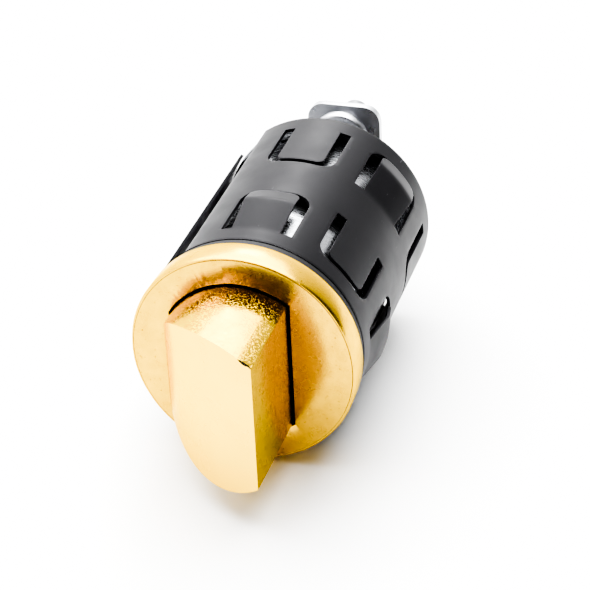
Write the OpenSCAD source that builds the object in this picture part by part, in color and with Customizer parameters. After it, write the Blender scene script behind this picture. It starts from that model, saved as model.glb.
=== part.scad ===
// Panel selector switch with a turning thumb knob.
// The switch axis lies along Y. The knob faces -Y, +Z is up, and the origin is where the axis
// meets the plane on which the bezel rests against the panel.
// Every module below is drawn on its own axis, with z towards the knob, and laid() turns it over.

/* [Bezel] */
// Outer radius of the bezel
bezel_r = 15; // [14.8:0.1:18]
// Height of the bezel in front of the panel
bezel_h = 3.9; // [3.6:0.1:6]
// How much smaller the bezel's front edge is than its widest part
rim_bevel = 0.2; // [0.1:0.05:0.4]
// Height of the bevel at the front edge
rim_bevel_h = 0.55; // [0.3:0.05:1]
// How much smaller the bezel is where it meets the panel
rim_taper = 0.1; // [0:0.05:0.2]
// Thickness of the wall around the dial
rim_wall = 0.4; // [0.3:0.05:0.45]
// Thickness of the web that holds the bezel on the barrel
web_t = 0.7; // [0.5:0.1:1]
// Depth of the gasket's groove in the back of the bezel
gasket_groove = 0.5; // [0.3:0.1:0.8]

/* [Dial] */
// Thickness of the dial at its edge
dial_t = 1.6; // [1.2:0.1:1.8]
// Depth of the shallow dish in the dial's face
dial_dish = 0.15; // [0.05:0.05:0.4]
// Radial clearance of a turning part in its hole
turn_gap = 0.1; // [0.05:0.01:0.15]
// Axial clearance under a turning part
lift_gap = 0.1; // [0.05:0.05:0.3]
// Radius of the pins that key the dial to the hub
dial_pin_r = 0.8; // [0.5:0.1:0.9]
// Number of pins that key the dial to the hub
dial_pin_count = 3; // [2:1:4]

/* [Knob] */
// Radius of the knob's two round ends
knob_r = 10.85; // [8:0.05:11]
// Distance from the axis to the knob's tall flat side
knob_tall_side = 6.4; // [5:0.1:7.5]
// Distance from the axis to the knob's low flat side
knob_low_side = 9.15; // [8:0.05:9.5]
// Height of the knob's tall edge above the bezel
knob_tall = 14.7; // [10:0.1:22]
// Height of the knob's low edge above the bezel
knob_low = 2.6; // [1:0.1:4]
// Radius of the knob's bowed front face
knob_front_r = 22.7; // [16:0.1:40]
// Gap between the knob and the opening in the dial
knob_gap = 0.35; // [0.2:0.05:0.5]
// Distance between the two screws that hold the knob
knob_screw_pitch = 13.2; // [12.8:0.1:14]
// Depth of the screws' thread in the knob
knob_screw_depth = 6; // [4:0.5:8]

/* [Hub] */
// Thickness of the hub's flange
flange_t = 1; // [0.8:0.1:1.5]
// Radius of the hub's body
hub_r = 11.3; // [9.5:0.1:11.4]
// Depth of the hub's body behind its flange
hub_depth = 4.1; // [3.5:0.1:6]
// Quarter turn that the stop allows
turn_angle = 90; // [30:5:120]
// Radius of the stop pin
stop_r = 0.8; // [0.6:0.05:0.85]
// Distance from the axis to the stop pin
stop_at = 10.4; // [10.3:0.05:10.5]

/* [Spindle] */
// Radius of the spindle
spindle_r = 4; // [3:0.1:5]
// Radial running clearance of the spindle in its bushes
spindle_gap = 0.05; // [0.02:0.01:0.1]
// Radius of the cross pin through hub and spindle
cross_pin_r = 1; // [0.6:0.1:1.2]
// Radius of the spindle's tail between the clip and the cam
tail_r = 3.4; // [2.6:0.1:3.5]
// Across the flats of the square that drives the cam
square_w = 4.8; // [3.6:0.1:5]

/* [Barrel] */
// Outer radius of the barrel
barrel_r = 12.95; // [12.7:0.05:13.3]
// Length of the barrel behind the panel plane
barrel_len = 33.9; // [30:0.1:50]
// Radius of the barrel's bore
barrel_bore_r = 9.5; // [8:0.1:9.6]
// Thickness of the plate that closes the barrel
end_plate_t = 1.5; // [1:0.1:2.5]
// Radius of the plate that closes the barrel
end_plate_r = 14; // [13.4:0.1:14.1]
// Length of each bush
bush_len = 5.5; // [4:0.5:8]
// Number of screws in the end plate
end_screw_count = 3; // [3:1:6]

/* [Sleeve] */
// Outer radius of the spring sleeve
sleeve_r = 14.65; // [14.5:0.05:14.8]
// Thickness of the sleeve's sheet
sheet_t = 0.45; // [0.3:0.05:0.5]
// Length of the sleeve
sleeve_len = 34.4; // [32:0.1:50]
// Distance from the panel plane to the front edge of the sleeve
sleeve_start = 1.5; // [1.2:0.1:2.5]
// Direction of the middle of the sleeve's split
split_at = 137; // [130:1:150]
// Angle that the split leaves open
split_angle = 22; // [12:1:30]
// Direction of the first pair of tongues
first_tongue_at = 90; // [85:1:95]
// Number of equal places round the sleeve, one of them taken by the split
place_count = 7; // [7:1:7]
// Width of each window
window_w = 9.45; // [8:0.05:10]
// Length of each window
window_len = 10; // [8:0.1:11]
// Middle of the front row of windows, measured from the panel plane
front_row_at = 9.5; // [8:0.1:12]
// Distance between the two rows of windows
row_pitch = 18.4; // [16:0.1:24]
// Width of each tongue
tongue_w = 6.4; // [5:0.1:7]
// Gap between a tongue's free end and its window
tongue_gap = 0.8; // [0.5:0.1:1.5]
// How far the sprung tongues stand out of the sleeve
tongue_lift = 1.0; // [0.5:0.1:1.4]

/* [Tail cam] */
// Distance from the end of the sleeve to the cam
cam_reach = 8.1; // [6:0.1:16]
// Thickness of the cam
cam_t = 2.5; // [1.5:0.1:4]
// Width of the cam's arm
cam_w = 10.6; // [9:0.1:13]
// Length of the cam's arm from the axis
cam_len = 12; // [11:0.1:18]
// Distance from the axis to the drive stud
stud_at = 7.7; // [7.5:0.1:9]
// Radius of the drive stud's pin
stud_r = 2; // [1.8:0.1:2.4]
// Radius of the drive stud's shank in the cam
stud_shank_r = 1.6; // [1.2:0.1:1.7]
// Length of the drive stud's pin behind the cam
stud_len = 6; // [4:0.5:12]
// Radius of the drive stud's head
stud_head_r = 4.1; // [3:0.1:4.2]
// Thickness of the drive stud's head
stud_head_t = 1.5; // [1:0.1:2.5]

/* [Hidden] */
$fn = 96;
// Small amount by which a cut passes the face that it opens
cut = 0.5;

gold = "#E3A63A";
nickel = "#C9CBCE";
black_steel = "#4B4B50";
black_rubber = "#161616";
bronze = "#B08A55";
steel = "#A9ACB0";

// Heights of the turning stack in front of the panel plane
floor_z = gasket_groove + web_t;
flange_z = floor_z + lift_gap;
dial_z = bezel_h - dial_t;
dial_r = bezel_r - rim_wall - turn_gap;
flange_margin = 0.6;
flange_r = dial_r - flange_margin;
hub_back_z = flange_z - hub_depth;
pocket_z = hub_back_z - 3 * lift_gap;
pocket_r = hub_r + turn_gap;
opening_r = knob_r + knob_gap;
dial_pin_at = (opening_r + flange_r) / 2;
dial_pin_top = dial_z + dial_t / 2;

// Knob: the bowed front is an arc through the low edge and the tall edge
low_x = -knob_low_side;
low_z = bezel_h + knob_low;
tall_x = knob_tall_side;
tall_z = bezel_h + knob_tall;
chord = norm([tall_x - low_x, tall_z - low_z]);
chord_tilt = atan2(tall_z - low_z, tall_x - low_x);
arc_drop = sqrt(knob_front_r * knob_front_r - chord * chord / 4);
arc_x = (low_x + tall_x) / 2 + arc_drop * sin(chord_tilt);
arc_z = (low_z + tall_z) / 2 - arc_drop * cos(chord_tilt);

// Knob screws: their cap heads are sunk in the back of the hub
knob_screw_r = 1.25;
knob_screw_head_r = 2;
knob_screw_head_h = 1.6;
knob_screw_sink = 0.4;
knob_screw_wall = 0.3;
knob_screw_at = max(knob_screw_pitch / 2, spindle_r + knob_screw_head_r + knob_screw_wall);
knob_head_z = hub_back_z + knob_screw_head_h + knob_screw_sink;

// The bezel's web sits on the barrel's spigot. The gasket fills the groove to just inside
// the sleeve's radius, and the land that rests on the panel starts just outside it.
spigot_margin = 0.2;
spigot_r = (pocket_r + barrel_r) / 2 + spigot_margin;
ring_gap = 0.05;
gasket_r = sleeve_r - ring_gap;
land_r = sleeve_r + ring_gap;

// What the barrel holds
front_bush_z = pocket_z;
rear_bush_z = -barrel_len + bush_len;
seal_r = 0.9;
seal_at = spindle_r + 2 * spindle_gap + seal_r;
seal_z = front_bush_z - bush_len / 2;
end_screw_r = 1.25;
end_screw_head_r = 2.1;
end_screw_head_h = 1.2;
end_screw_depth = 6;
end_screw_at = (barrel_bore_r + barrel_r) / 2;
end_screw_start = 30;
end_z = -barrel_len - end_plate_t;
end_hole_gap = 0.3;
slot_w = 0.6;
spacer_wall = 1;
washer_t = 0.8;
washer_w = 3;
clip_t = 0.8;
clip_w = 1.6;
clip_mouth = 2.4;
clip_groove = 0.5;
clip_shoulder = 1;
clip_z = end_z - 2 * lift_gap - washer_t;
tail_z = clip_z - clip_t - clip_shoulder;
spindle_set_back = 0.4;

// Stop: the pin stands in an open notch in the hub's edge
stop_slack = 1;
stop_turn = asin(stop_r / stop_at) + stop_slack;
stop_rise = 1.2;
stop_root = 3;
notch_gap = 0.15;
notch_r = stop_at - stop_r - notch_gap;
notch_h = stop_rise + 0.4;

// The cross pin runs through hub and spindle, above the notch
pin_wall = 0.35;
pin_set_back = 0.4;
cross_pin_z = hub_back_z + notch_h + cross_pin_r + pin_wall;

// Sleeve
sleeve_in_r = sleeve_r - sheet_t;
sleeve_end_z = -sleeve_start - sleeve_len;
place_angle = 360 / place_count;
window_round = 2.2;
tongue_round = 1.1;
// The sprung tongues are a little thinner than the sheet, and start inside it
tongue_t = sheet_t - 0.04;
tongue_root = 0.8;
tongue_bend = 0.68;
tongue_tip = 0.45;
tongue_free = window_len - tongue_gap;

// Cam and its fixings, from front to back
cam_z = min(sleeve_end_z - cam_reach, tail_z - stud_head_t - lift_gap);
cam_back_z = cam_z - cam_t;
cam_corner = 2.6;
cam_hub_r = 6.6;
cam_washer_r = 3.6;
cam_washer_t = 0.8;
cam_screw_r = 1.5;
cam_screw_head_r = 2.7;
cam_screw_head_h = 2;
cam_screw_depth = 7;
cam_screw_hex_r = 1.45;

// Turns a part from its own axis to the switch's axis, with its z pointing to the front
module laid() {
    rotate([90, 0, 0]) children();
}

// Ring between two heights
module ring(outer_r, inner_r, low, high) {
    translate([0, 0, low])
    difference() {
        cylinder(r = outer_r, h = high - low);
        translate([0, 0, -cut]) cylinder(r = inner_r, h = high - low + 2 * cut);
    }
}

// Solid disc or pin between two heights
module disc(r, low, high) {
    translate([0, 0, low]) cylinder(r = r, h = high - low);
}

// Copies a child round the axis
module around(count, start = 0) {
    for (i = [0 : count - 1]) rotate([0, 0, start + i * 360 / count]) children();
}

// Moves a child to the stop pin's place, below the axis
module stop_place() {
    translate([0, -stop_at, 0]) children();
}

// Outline of the knob seen along the axis, grown by a clearance
module knob_outline(grow, low, high) {
    intersection() {
        disc(knob_r + grow, low, high);
        translate([low_x - grow, -2 * knob_r, low])
            cube([tall_x - low_x + 2 * grow, 4 * knob_r, high - low]);
    }
}

// Fixed ring with a bevelled front edge and a slight taper to the panel
module bezel_ring() {
    color(gold) laid()
    difference() {
        rotate_extrude()
            polygon([[0, 0], [bezel_r - rim_taper, 0], [bezel_r, bezel_h - rim_bevel_h],
                     [bezel_r - rim_bevel, bezel_h], [0, bezel_h]]);
        disc(bezel_r - rim_wall, floor_z, bezel_h + cut);
        disc(spigot_r, -cut, bezel_h);
        disc(land_r, -cut, gasket_groove);
    }
}

// Rubber ring between the bezel and the sleeve
module panel_gasket() {
    color(black_rubber) laid() ring(gasket_r, barrel_r, -sleeve_start, gasket_groove);
}

// Turned barrel with a pocket for the hub at the front and a bore for the spindle's bushes
module barrel() {
    color(nickel) laid()
    difference() {
        union() {
            disc(barrel_r, -barrel_len, gasket_groove);
            disc(spigot_r, 0, floor_z);
        }
        disc(pocket_r, pocket_z, floor_z + cut);
        disc(barrel_bore_r, -barrel_len - cut, pocket_z + cut);
        stop_place()
            disc(stop_r, pocket_z - stop_root, pocket_z + cut);
        around(end_screw_count, end_screw_start) translate([end_screw_at, 0, 0])
            disc(end_screw_r, -barrel_len - cut, -barrel_len + end_screw_depth);
    }
}

// Prism that runs outwards through the sleeve, with two corners rounded at its free end.
// Its outline is drawn with the length along z and the free end at dir * len / 2.
module radial_prism(w, len, round_r, dir) {
    rotate([90, 0, 90])
    linear_extrude(height = 2 * sleeve_r)
    scale_y(dir)
    difference() {
        translate([-w / 2, -len / 2]) square([w, len]);
        for (side = [-1, 1])
            translate([side * (w / 2 - round_r), len / 2 - round_r])
            difference() {
                translate([side > 0 ? 0 : -round_r - cut, 0]) square(round_r + cut);
                circle(r = round_r);
            }
    }
}

// Mirrors a flat outline when the free end points the other way
module scale_y(dir) {
    mirror([0, dir > 0 ? 0 : 1, 0]) children();
}

// Window cut with its tongue left standing in the sheet
module flush_window(dir) {
    difference() {
        radial_prism(window_w, window_len, window_round, dir);
        translate([0, 0, -dir * (tongue_gap / 2 + cut)])
            radial_prism(tongue_w, window_len - tongue_gap + 2 * cut, tongue_round, dir);
    }
}

// Tongue that rises out of the sleeve and turns in again at its tip
module sprung_tongue(dir) {
    half_turn = asin(tongue_w / 2 / sleeve_r);
    mid_r = sleeve_r - (sheet_t - tongue_t) / 2;
    root_y = -window_len / 2 - tongue_root;
    bend_y = -window_len / 2 + tongue_free * tongue_bend;
    tip_y = -window_len / 2 + tongue_free;
    outer = [[mid_r, root_y], [mid_r, -window_len / 2], [mid_r + tongue_lift, bend_y],
             [mid_r + tongue_lift * tongue_tip, tip_y]];
    inner = [for (i = [len(outer) - 1 : -1 : 0]) outer[i] - [tongue_t, 0]];
    intersection() {
        rotate([0, 0, -half_turn])
        rotate_extrude(angle = 2 * half_turn)
        scale_y(dir) polygon(concat(outer, inner));
        translate([0, 0, -dir * (tongue_gap + tongue_root) / 2])
            radial_prism(tongue_w, tongue_free + tongue_root, tongue_round, dir);
    }
}

// Split spring sleeve. Two rows of tongues face opposite ways, and swap at every place.
module mounting_sleeve() {
    color(black_steel) laid() {
        difference() {
            rotate([0, 0, split_at + split_angle / 2])
            rotate_extrude(angle = 360 - split_angle)
            translate([sleeve_in_r, sleeve_end_z]) square([sheet_t, sleeve_len]);
            for (i = [0 : place_count - 2], row = [0, 1])
                rotate([0, 0, first_tongue_at - i * place_angle])
                translate([0, 0, -front_row_at - row * row_pitch])
                if ((i + row) % 2 == 0) radial_prism(window_w, window_len, window_round, -1);
                else flush_window(1);
        }
        for (i = [0 : place_count - 2], row = [0, 1])
            if ((i + row) % 2 == 0)
                rotate([0, 0, first_tongue_at - i * place_angle])
                translate([0, 0, -front_row_at - row * row_pitch]) sprung_tongue(-1);
    }
}

// Bush with a groove for the seal
module front_bush() {
    color(bronze) laid()
    difference() {
        ring(barrel_bore_r, spindle_r + spindle_gap, front_bush_z - bush_len, front_bush_z);
        disc(seal_at + seal_r, seal_z - seal_r, seal_z + seal_r);
    }
}

// Plain bush
module rear_bush() {
    color(bronze) laid()
    ring(barrel_bore_r, spindle_r + spindle_gap, rear_bush_z - bush_len, rear_bush_z);
}

// Tube that keeps the bushes apart
module spacer_tube() {
    color(steel) laid()
    ring(barrel_bore_r, barrel_bore_r - spacer_wall, rear_bush_z, front_bush_z - bush_len);
}

// Rubber ring that rubs on the spindle
module shaft_seal() {
    color(black_rubber) laid()
    translate([0, 0, seal_z])
    rotate_extrude() translate([seal_at, 0]) circle(r = seal_r, $fn = 32);
}

// Pin that stops the hub at both ends of its turn
module stop_pin() {
    color(steel) laid()
    stop_place() disc(stop_r, pocket_z - stop_root, pocket_z + stop_rise);
}

// Plate that closes the barrel and steadies the end of the sleeve
module end_plate() {
    color(nickel) laid()
    difference() {
        disc(end_plate_r, end_z, -barrel_len);
        disc(spindle_r + end_hole_gap, end_z - cut, cut - barrel_len);
        around(end_screw_count, end_screw_start) translate([end_screw_at, 0, 0])
            disc(end_screw_r, end_z - cut, -barrel_len + cut);
    }
}

// Slotted screws of the end plate
module end_screws() {
    color(steel) laid()
    around(end_screw_count, end_screw_start) translate([end_screw_at, 0, 0])
    difference() {
        union() {
            disc(end_screw_r, end_z, -barrel_len + end_screw_depth);
            disc(end_screw_head_r, end_z - end_screw_head_h, end_z);
        }
        translate([-2 * end_screw_head_r, -slot_w / 2, end_z - end_screw_head_h - cut])
            cube([4 * end_screw_head_r, slot_w, end_screw_head_h / 2 + cut]);
    }
}

// Dished dial that turns in the bezel, with the opening that the knob comes out of
module dial() {
    color(gold) laid()
    difference() {
        rotate_extrude()
            polygon([[0, dial_z], [dial_r, dial_z], [dial_r, bezel_h],
                     [opening_r, bezel_h - dial_dish], [0, bezel_h - dial_dish]]);
        knob_outline(knob_gap, dial_z - cut, bezel_h + cut);
        around(dial_pin_count, 90) translate([dial_pin_at, 0, 0])
            disc(dial_pin_r, dial_z - cut, dial_pin_top);
    }
}

// Knob with two round ends, two flat sides and a bowed, sloping front
module knob() {
    color(gold) laid()
    difference() {
        intersection() {
            knob_outline(0, dial_z, tall_z + cut);
            translate([arc_x, 0, arc_z]) rotate([90, 0, 0])
                cylinder(r = knob_front_r, h = 4 * knob_r, center = true, $fn = 180);
        }
        for (side = [-1, 1]) translate([0, side * knob_screw_at, 0])
            disc(knob_screw_r, dial_z - cut, dial_z + knob_screw_depth);
    }
}

// Screws that pull the knob onto the hub
module knob_screws() {
    color(steel) laid()
    for (side = [-1, 1]) translate([0, side * knob_screw_at, 0]) {
        disc(knob_screw_r, knob_head_z - knob_screw_head_h, dial_z + knob_screw_depth);
        disc(knob_screw_head_r, knob_head_z - knob_screw_head_h, knob_head_z);
    }
}

// Pins that key the dial to the hub
module dial_pins() {
    color(steel) laid()
    around(dial_pin_count, 90) translate([dial_pin_at, 0, 0])
    disc(dial_pin_r, flange_z, dial_pin_top);
}

// Hub that carries the knob and the dial, with the stop's notch in its edge
module hub() {
    color(nickel) laid()
    difference() {
        union() {
            disc(flange_r, flange_z, dial_z);
            disc(hub_r, hub_back_z, flange_z + cut);
        }
        disc(spindle_r, hub_back_z - cut, dial_z + cut);
        for (side = [-1, 1]) translate([0, side * knob_screw_at, 0]) {
            disc(knob_screw_r, hub_back_z - cut, dial_z + cut);
            disc(knob_screw_head_r, hub_back_z - cut, knob_head_z);
        }
        around(dial_pin_count, 90) translate([dial_pin_at, 0, 0])
            disc(dial_pin_r, flange_z - cut, dial_z + cut);
        rotate([0, 0, -90 - stop_turn])
            rotate_extrude(angle = turn_angle + 2 * stop_turn)
            translate([notch_r, hub_back_z - cut]) square([hub_r, notch_h + cut]);
        translate([0, 0, cross_pin_z]) rotate([0, 90, 0])
            cylinder(r = cross_pin_r, h = 4 * hub_r, center = true);
    }
}

// Cross pin through hub and spindle
module hub_pin() {
    color(steel) laid()
    translate([0, 0, cross_pin_z]) rotate([0, 90, 0])
    cylinder(r = cross_pin_r, h = 2 * (hub_r - pin_set_back), center = true);
}

// Spindle with a groove for the clip and a square for the cam
module spindle() {
    color(steel) laid()
    difference() {
        union() {
            disc(spindle_r, tail_z, dial_z - spindle_set_back);
            disc(tail_r, cam_z, tail_z);
            translate([-square_w / 2, -square_w / 2, cam_back_z + lift_gap])
                cube([square_w, square_w, cam_t]);
        }
        ring(2 * spindle_r, spindle_r - clip_groove, clip_z - clip_t, clip_z);
        disc(cam_screw_r, cam_back_z - cut, cam_back_z + cam_screw_depth);
        translate([0, 0, cross_pin_z]) rotate([0, 90, 0])
            cylinder(r = cross_pin_r, h = 4 * spindle_r, center = true);
    }
}

// Washer between the end plate and the clip
module thrust_washer() {
    color(bronze) laid()
    ring(spindle_r + washer_w, spindle_r, clip_z, clip_z + washer_t);
}

// Open clip in the spindle's groove
module circlip() {
    color(black_steel) laid()
    difference() {
        ring(spindle_r + clip_w, spindle_r - clip_groove, clip_z - clip_t, clip_z);
        translate([-clip_mouth / 2, 0, clip_z - 2 * clip_t])
            cube([clip_mouth, 2 * spindle_r, 3 * clip_t]);
    }
}

// Cam with a square hole, an arm with rounded corners and a hole for the stud
module tail_cam() {
    half = cam_w / 2;
    color(nickel) laid()
    translate([0, 0, cam_back_z])
    linear_extrude(height = cam_t)
    difference() {
        union() {
            circle(r = cam_hub_r);
            translate([-half, 0]) square([cam_w, cam_len - cam_corner]);
            translate([-half + cam_corner, 0]) square([cam_w - 2 * cam_corner, cam_len]);
            for (side = [-1, 1]) translate([side * (half - cam_corner), cam_len - cam_corner])
                circle(r = cam_corner);
        }
        square(square_w, center = true);
        translate([0, stud_at]) circle(r = stud_shank_r);
    }
}

// Stud that drives the switch behind: a pin, a thinner shank through the cam and a riveted head
module drive_stud() {
    color(nickel) laid()
    translate([0, stud_at, 0]) {
        disc(stud_r, cam_back_z - stud_len, cam_back_z);
        disc(stud_shank_r, cam_back_z, cam_z);
        disc(stud_head_r, cam_z, cam_z + stud_head_t);
    }
}

// Washer under the cam's screw
module cam_washer() {
    color(steel) laid()
    ring(cam_washer_r, cam_screw_r, cam_back_z - cam_washer_t, cam_back_z);
}

// Screw that holds the cam on the spindle
module cam_screw() {
    under_z = cam_back_z - cam_washer_t;
    color(steel) laid()
    difference() {
        union() {
            disc(cam_screw_r, under_z, cam_back_z + cam_screw_depth);
            disc(cam_screw_head_r, under_z - cam_screw_head_h, under_z);
        }
        translate([0, 0, under_z - cam_screw_head_h - cut])
            cylinder(r = cam_screw_hex_r, h = cam_screw_head_h / 2 + cut, $fn = 6);
    }
}

bezel_ring();
panel_gasket();
barrel();
mounting_sleeve();
front_bush();
rear_bush();
spacer_tube();
shaft_seal();
stop_pin();
end_plate();
end_screws();
dial();
knob();
knob_screws();
dial_pins();
hub();
hub_pin();
spindle();
thrust_washer();
circlip();
tail_cam();
drive_stud();
cam_washer();
cam_screw();
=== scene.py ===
import bpy
from math import cos, pi, radians, sin
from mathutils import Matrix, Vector


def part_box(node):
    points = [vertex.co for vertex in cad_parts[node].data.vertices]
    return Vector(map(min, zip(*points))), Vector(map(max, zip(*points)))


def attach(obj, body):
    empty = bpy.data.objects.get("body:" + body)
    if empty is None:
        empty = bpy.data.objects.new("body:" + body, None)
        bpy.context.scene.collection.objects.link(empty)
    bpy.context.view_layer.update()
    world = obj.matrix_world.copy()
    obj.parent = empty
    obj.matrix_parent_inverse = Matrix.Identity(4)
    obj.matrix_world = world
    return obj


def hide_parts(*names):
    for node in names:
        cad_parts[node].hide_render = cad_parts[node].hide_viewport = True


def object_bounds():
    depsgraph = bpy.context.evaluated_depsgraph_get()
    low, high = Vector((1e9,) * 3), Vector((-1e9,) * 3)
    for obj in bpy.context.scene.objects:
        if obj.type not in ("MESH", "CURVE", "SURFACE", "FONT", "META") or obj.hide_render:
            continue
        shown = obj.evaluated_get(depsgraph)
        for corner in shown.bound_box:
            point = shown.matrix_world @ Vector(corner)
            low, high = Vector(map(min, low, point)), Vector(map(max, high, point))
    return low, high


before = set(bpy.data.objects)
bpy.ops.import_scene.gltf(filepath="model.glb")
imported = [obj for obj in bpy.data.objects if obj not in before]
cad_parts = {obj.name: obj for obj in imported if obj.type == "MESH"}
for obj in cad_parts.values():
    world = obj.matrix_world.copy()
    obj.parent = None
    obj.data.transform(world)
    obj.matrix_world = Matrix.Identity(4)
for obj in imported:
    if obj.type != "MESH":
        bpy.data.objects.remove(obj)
cad_low, cad_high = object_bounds()

# ---------------------------------------------------------------------------------------------
# The stage: a pale matt floor that the unit lies on, a pale room, soft boxes, and the camera,
# which stands above and to the right of the knob and looks down the switch axis at a slant.
MM = 0.001
bpy.ops.object.select_all(action="DESELECT")


def linear(code, alpha=1.0):
    """Turns an sRGB hex colour into the linear colour that Blender's sockets take."""
    parts = [int(code[i:i + 2], 16) / 255 for i in (1, 3, 5)]
    return [p / 12.92 if p <= 0.04045 else ((p + 0.055) / 1.055) ** 2.4 for p in parts] + [alpha]


def add_node(material, kind, inputs=(), **settings):
    """Adds one node with its settings, and fills its inputs with values or other nodes' outputs."""
    made = material.node_tree.nodes.new(kind)
    for name, value in settings.items():
        setattr(made, name, value)
    for name, value in dict(inputs).items():
        if isinstance(value, bpy.types.NodeSocket):
            material.node_tree.links.new(value, made.inputs[name])
        else:
            made.inputs[name].default_value = value
    return made


def new_material(name):
    """An empty material, and the object's own coordinates in it."""
    made = bpy.data.materials.new(name)
    made.use_nodes = True
    made.node_tree.nodes.clear()
    return made, add_node(made, "ShaderNodeTexCoord").outputs["Object"]


def softbox(name, place, size, power, aim=(0, 0.012, 0)):
    """A square soft light at a place in metres, turned towards the middle of the unit."""
    turn = (Vector(aim) - Vector(place)).to_track_quat("-Z", "Y").to_euler()
    bpy.ops.object.light_add(type="AREA", location=place, rotation=turn)
    lamp = bpy.context.object
    lamp.name = name
    lamp.data.size = size
    lamp.data.energy = power


bpy.ops.object.camera_add(location=(0.08085, -0.22802, 0.15317),
                          rotation=(radians(58.83), radians(2.426), radians(16.647)))
bpy.context.scene.camera = bpy.context.object
bpy.context.object.data.sensor_width = 36
bpy.context.object.data.lens = 136.07

softbox("softbox_top", (-0.10, 0.22, 0.62), 0.90, 13.0)
softbox("softbox_back", (-0.20, 0.86, 0.56), 0.26, 2.4)
softbox("softbox_front", (-0.50, -0.45, 0.45), 0.35, 2.4)

# the room is dim, with a wide bright window behind the unit and to its left, a flag that holds
# some of it back on the right, and a pale ceiling
room = bpy.data.worlds.new("studio_room")
room.use_nodes = True
look = add_node(room, "ShaderNodeTexCoord")
facing = add_node(room, "ShaderNodeVectorMath", {0: look.outputs["Generated"],
                                                 1: Vector((-0.45, 0.80, 0.40)).normalized()},
                  operation="DOT_PRODUCT")
window = add_node(room, "ShaderNodeMapRange", {"Value": facing.outputs["Value"], "From Min": 0.02,
                                               "From Max": 0.98, "To Min": 0.05, "To Max": 3.5},
                  interpolation_type="SMOOTHSTEP")
flag = add_node(room, "ShaderNodeVectorMath", {0: look.outputs["Generated"],
                                               1: Vector((0.36, 0.80, 0.48)).normalized()},
                operation="DOT_PRODUCT")
shade = add_node(room, "ShaderNodeMapRange", {"Value": flag.outputs["Value"], "From Min": 0.86,
                                              "From Max": 0.98, "To Min": 1.0, "To Max": 0.62},
                 interpolation_type="SMOOTHSTEP")
flagged = add_node(room, "ShaderNodeMath", {0: window.outputs[0], 1: shade.outputs[0]},
                   operation="MULTIPLY")
height = add_node(room, "ShaderNodeSeparateXYZ", {0: look.outputs["Generated"]})
ceiling = add_node(room, "ShaderNodeMapRange", {"Value": height.outputs["Z"], "From Min": 0.80,
                                                "From Max": 1.0, "To Min": 0.0, "To Max": 3.0},
                   interpolation_type="SMOOTHSTEP")
total = add_node(room, "ShaderNodeMath", {0: flagged.outputs[0], 1: ceiling.outputs[0]},
                 operation="ADD")
background = room.node_tree.nodes["Background"]
background.inputs["Color"].default_value = linear("#F6F6F6")
room.node_tree.links.new(total.outputs[0], background.inputs["Strength"])
bpy.context.scene.world = room
bpy.context.scene.view_settings.look = "AgX - Very High Contrast"

bpy.ops.mesh.primitive_plane_add(size=6, location=(0, 0, cad_low.z))
floor = bpy.context.object
floor.name = "floor"

# White paper: uncoated and matt, with hardly any cloud in its tone.
paper, place = new_material("white_paper")
cloud = add_node(paper, "ShaderNodeTexNoise", {"Vector": place, "Scale": 12.0, "Detail": 2.0})
tint = add_node(paper, "ShaderNodeMix", {0: cloud.outputs["Fac"], 6: linear("#F8F8F7"),
                                         7: linear("#FCFCFC")}, data_type="RGBA")
shader = add_node(paper, "ShaderNodeBsdfPrincipled",
                  {"Base Color": tint.outputs[2], "Roughness": 0.9})
add_node(paper, "ShaderNodeOutputMaterial", {"Surface": shader.outputs[0]})
floor.data.materials.append(paper)

# ---------------------------------------------------------------------------------------------
# The bezel: a brass ring turned on a lathe, with a slight taper to the panel, a bevelled front
# edge and a thin wall round the dial. Its satin gold plating has faint cloudy patches.


def pick(piece):
    """Makes a piece the only one selected, and the active one."""
    bpy.ops.object.select_all(action="DESELECT")
    piece.select_set(True)
    bpy.context.view_layer.objects.active = piece


def start_edit(piece):
    """Opens a piece in edit mode with nothing selected."""
    pick(piece)
    bpy.ops.object.mode_set(mode="EDIT")
    bpy.ops.mesh.select_all(action="DESELECT")


def end_edit():
    """Goes back to object mode."""
    bpy.ops.object.mode_set(mode="OBJECT")


def lathe(name, outline, steps=160):
    """Spins a closed outline of (radius, depth behind the panel) in mm round the switch axis."""
    bpy.ops.object.select_all(action="DESELECT")
    bpy.ops.mesh.primitive_circle_add(vertices=len(outline))
    made = bpy.context.object
    made.name = name
    for vertex, (r, depth) in zip(made.data.vertices, outline):
        vertex.co = (r * MM, depth * MM, 0)
    start_edit(made)
    bpy.ops.mesh.select_all(action="SELECT")
    bpy.ops.mesh.spin(steps=steps, angle=2 * pi, center=(0, 0, 0), axis=(0, 1, 0))
    bpy.ops.mesh.select_all(action="SELECT")
    bpy.ops.mesh.remove_doubles(threshold=1e-6)
    bpy.ops.mesh.delete_loose()
    bpy.ops.mesh.select_all(action="SELECT")
    bpy.ops.mesh.normals_make_consistent(inside=False)
    end_edit()
    return made


def apply_modifier(piece, kind, **settings):
    """Adds a modifier with its settings, and applies it."""
    pick(piece)
    added = piece.modifiers.new(kind.lower(), kind)
    for key, value in settings.items():
        setattr(added, key, value)
    bpy.ops.object.modifier_apply(modifier=added.name)


def soften(piece, width, segments=3, **settings):
    """Rounds all the sharp edges of a piece by a width in mm, and shades the rest smooth."""
    apply_modifier(piece, "BEVEL", width=width * MM, segments=segments, limit_method="ANGLE",
                   angle_limit=radians(28), harden_normals=False, **settings)
    bpy.ops.object.shade_smooth_by_angle(angle=radians(32))


def carve(piece, cutter, operation="DIFFERENCE"):
    """Cuts a piece with another, which is then removed."""
    apply_modifier(piece, "BOOLEAN", object=cutter, operation=operation, solver="EXACT")
    bpy.data.objects.remove(cutter)


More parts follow.
